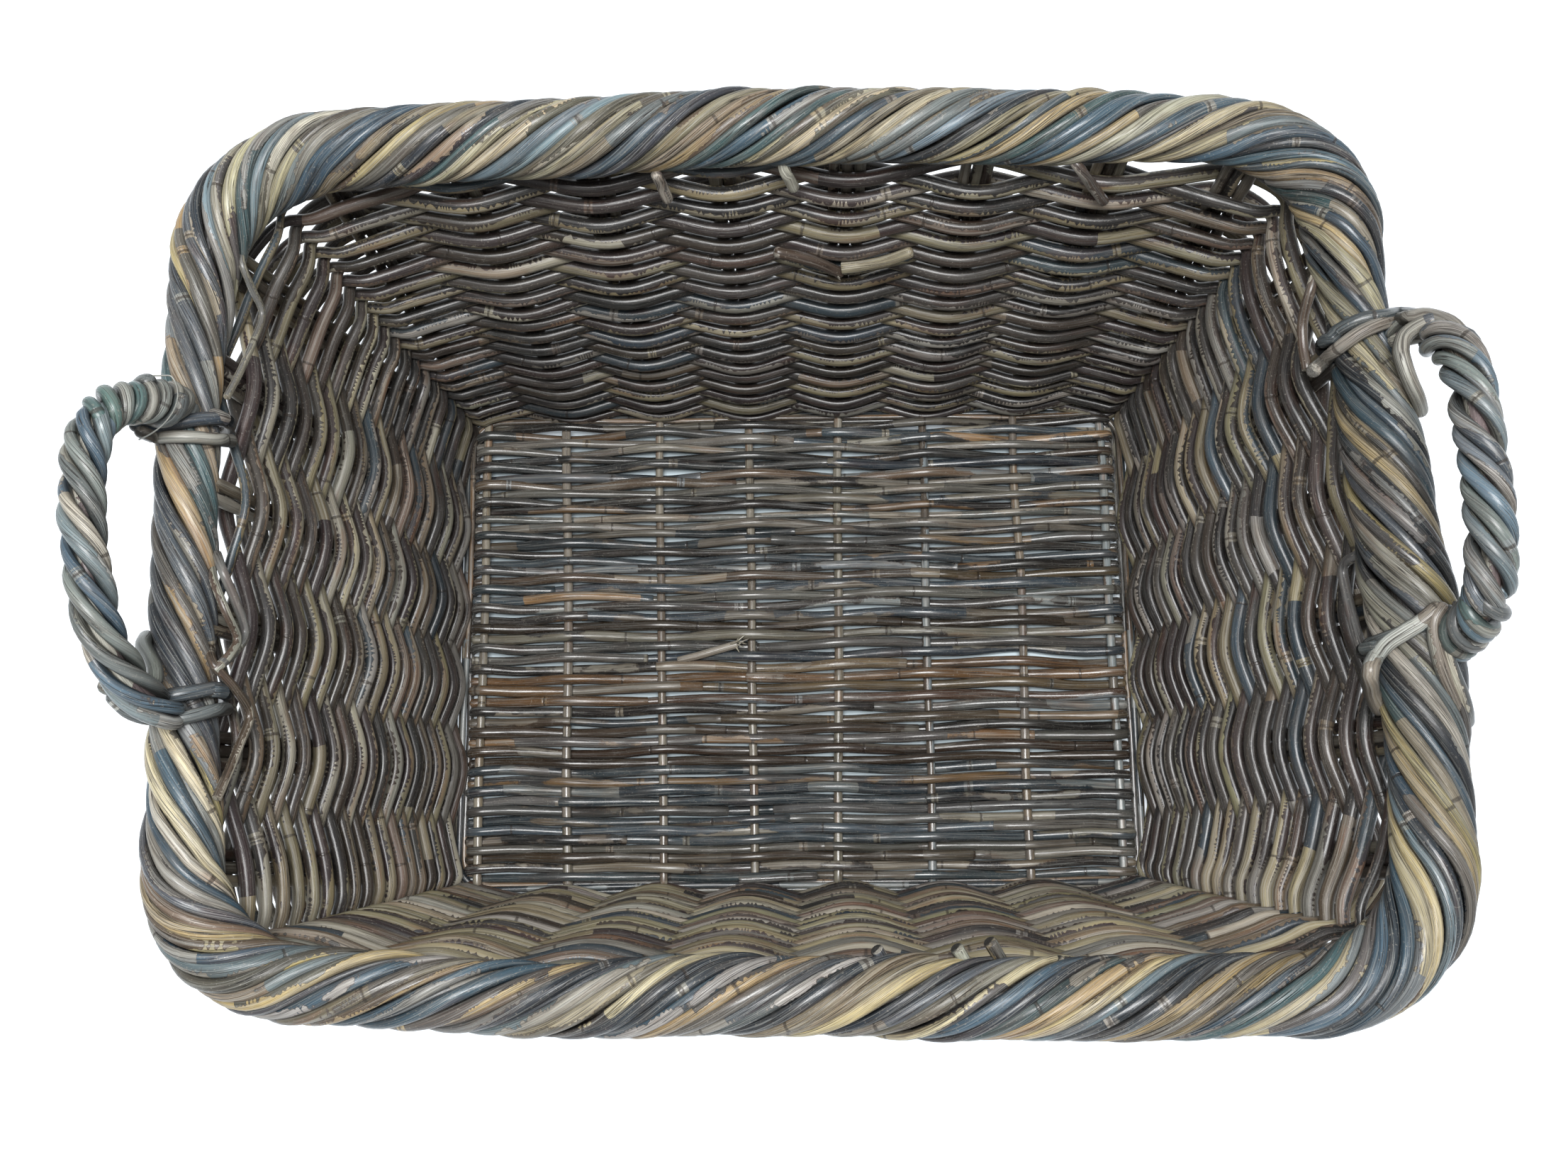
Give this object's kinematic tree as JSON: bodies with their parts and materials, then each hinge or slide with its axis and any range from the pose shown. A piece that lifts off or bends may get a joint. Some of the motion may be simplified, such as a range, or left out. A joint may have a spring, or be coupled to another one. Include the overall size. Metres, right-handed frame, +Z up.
{
  "type": "rattan log basket",
  "caption": "Open rectangular log basket woven from mottled rattan rods, with a thick twisted-rope rim and two fixed ear handles on the short ends.",
  "frame": {"origin": "on the floor, under the middle of the basket's bounding box", "axes": "+X along the long side, towards the right handle; +Y towards the back; +Z up"},
  "size_m": [0.6635, 0.4806, 0.4038],
  "materials": {
    "base_sticks": "satin unpeeled rattan",
    "base_weavers": "satin unpeeled rattan, grey-brown",
    "stake_rods": "satin unpeeled rattan",
    "wall_weavers": "mottled unpeeled rattan, satin",
    "rim_tan": "tan mottled rattan, satin",
    "rim_slate_blue": "slate-blue grey rattan, satin",
    "rim_cream": "cream mottled rattan, satin",
    "handle_core": "tan rattan, satin",
    "handle_wrap": "grey rattan, satin"
  },
  "bodies": {
    "root": {"base_stick_1": "base_sticks", "base_stick_2": "base_sticks", "base_stick_3": "base_sticks", "base_stick_4": "base_sticks", "base_stick_5": "base_sticks", "base_stick_6": "base_sticks", "base_stick_7": "base_sticks", "base_stick_8": "base_sticks", "base_weave_front": "base_weavers", "base_weave_mid_front": "base_weavers", "base_weave_mid_back": "base_weavers", "base_weave_back": "base_weavers", "stake_right_1": "stake_rods", "stake_right_2": "stake_rods", "stake_right_3": "stake_rods", "stake_right_4": "stake_rods", "stake_right_5": "stake_rods", "stake_right_6": "stake_rods", "stake_back_1": "stake_rods", "stake_back_2": "stake_rods", "stake_back_3": "stake_rods", "stake_back_4": "stake_rods", "stake_back_5": "stake_rods", "stake_back_6": "stake_rods", "stake_back_7": "stake_rods", "stake_back_8": "stake_rods", "stake_left_1": "stake_rods", "stake_left_2": "stake_rods", "stake_left_3": "stake_rods", "stake_left_4": "stake_rods", "stake_left_5": "stake_rods", "stake_left_6": "stake_rods", "stake_front_1": "stake_rods", "stake_front_2": "stake_rods", "stake_front_3": "stake_rods", "stake_front_4": "stake_rods", "stake_front_5": "stake_rods", "stake_front_6": "stake_rods", "stake_front_7": "stake_rods", "stake_front_8": "stake_rods", "wall_course_1": "wall_weavers", "wall_course_2": "wall_weavers", "wall_course_3": "wall_weavers", "wall_course_4": "wall_weavers", "wall_course_5": "wall_weavers", "wall_course_6": "wall_weavers", "wall_course_7": "wall_weavers", "wall_course_8": "wall_weavers", "rim_strand_tan": "rim_tan", "rim_strand_blue": "rim_slate_blue", "rim_strand_cream": "rim_cream", "handle_left_core": "handle_core", "handle_left_wrap": "handle_wrap", "handle_left_lashing_back": "handle_wrap", "handle_left_lashing_front": "handle_wrap", "handle_right_core": "handle_core", "handle_right_wrap": "handle_wrap", "handle_right_lashing_back": "handle_wrap", "handle_right_lashing_front": "handle_wrap"}
  },
  "joints": []
}
